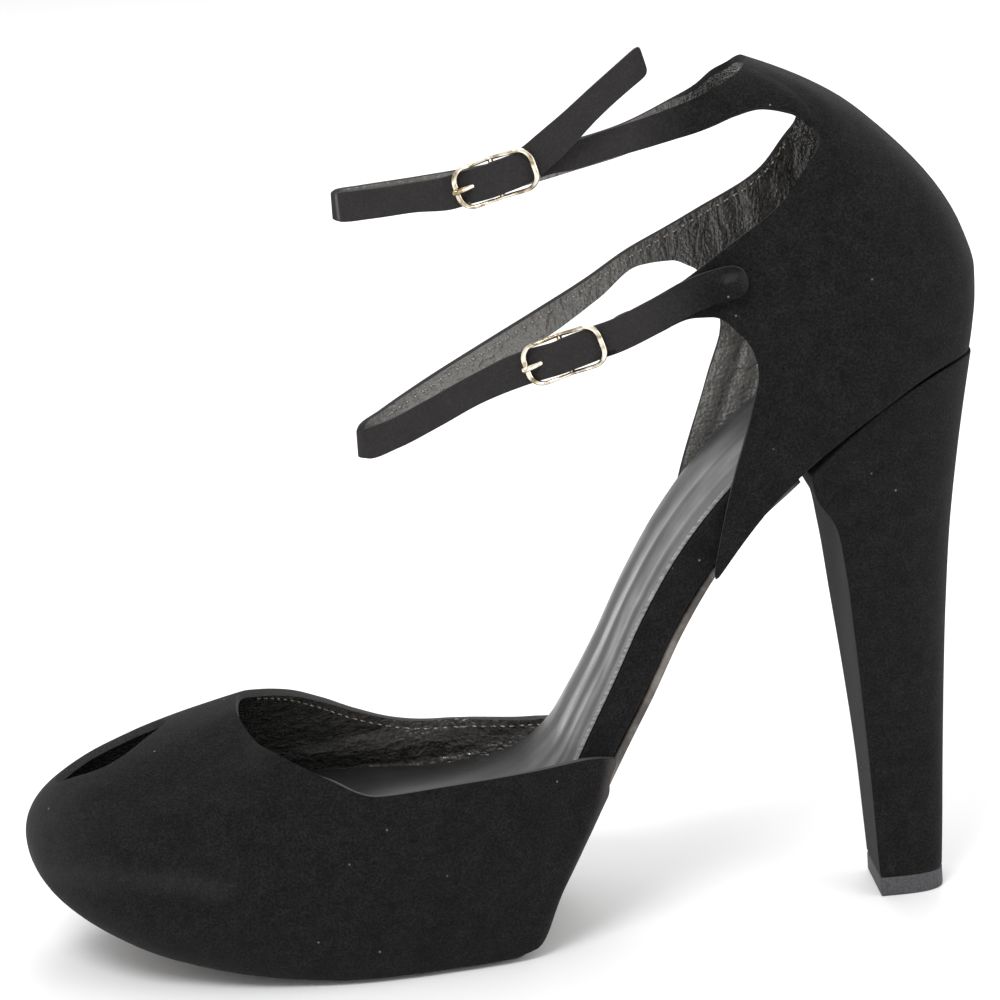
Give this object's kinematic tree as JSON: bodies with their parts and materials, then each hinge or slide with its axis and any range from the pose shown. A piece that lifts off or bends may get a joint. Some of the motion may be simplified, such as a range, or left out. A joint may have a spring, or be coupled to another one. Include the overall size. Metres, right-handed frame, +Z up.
{
  "type": "platform sandal",
  "caption": "High-heeled peep-toe platform sandal in black suede with buckled ankle straps, left foot, standing empty on its sole.",
  "frame": {"origin": "on the floor, in the flat of the forefoot's tread under the ball of the foot", "axes": "+Z up, -X towards the toe, +X towards the heel, -Y towards the outer side of this left shoe"},
  "size_m": [0.225, 0.0824, 0.2024],
  "materials": {
    "suede": "black suede with a fine short nap",
    "insole_leather": "smooth mid-grey leather with a satin sheen",
    "sole_leather": "dark smooth sole leather",
    "platform_core": "light moulded core, hidden under the suede",
    "lift_rubber": "matt dark grey rubber",
    "buckle_metal": "polished pale gold plating"
  },
  "bodies": {
    "root": {"outsole": "sole_leather", "platform": "platform_core", "insole_board": "suede", "insole": "insole_leather", "vamp": "suede", "quarter": "suede", "strap_lower": "suede", "strap_upper": "suede", "heel": "suede", "top_lift": "lift_rubber", "buckle_lower": "buckle_metal", "buckle_upper": "buckle_metal", "prong_lower": "buckle_metal", "prong_upper": "buckle_metal"}
  },
  "joints": []
}
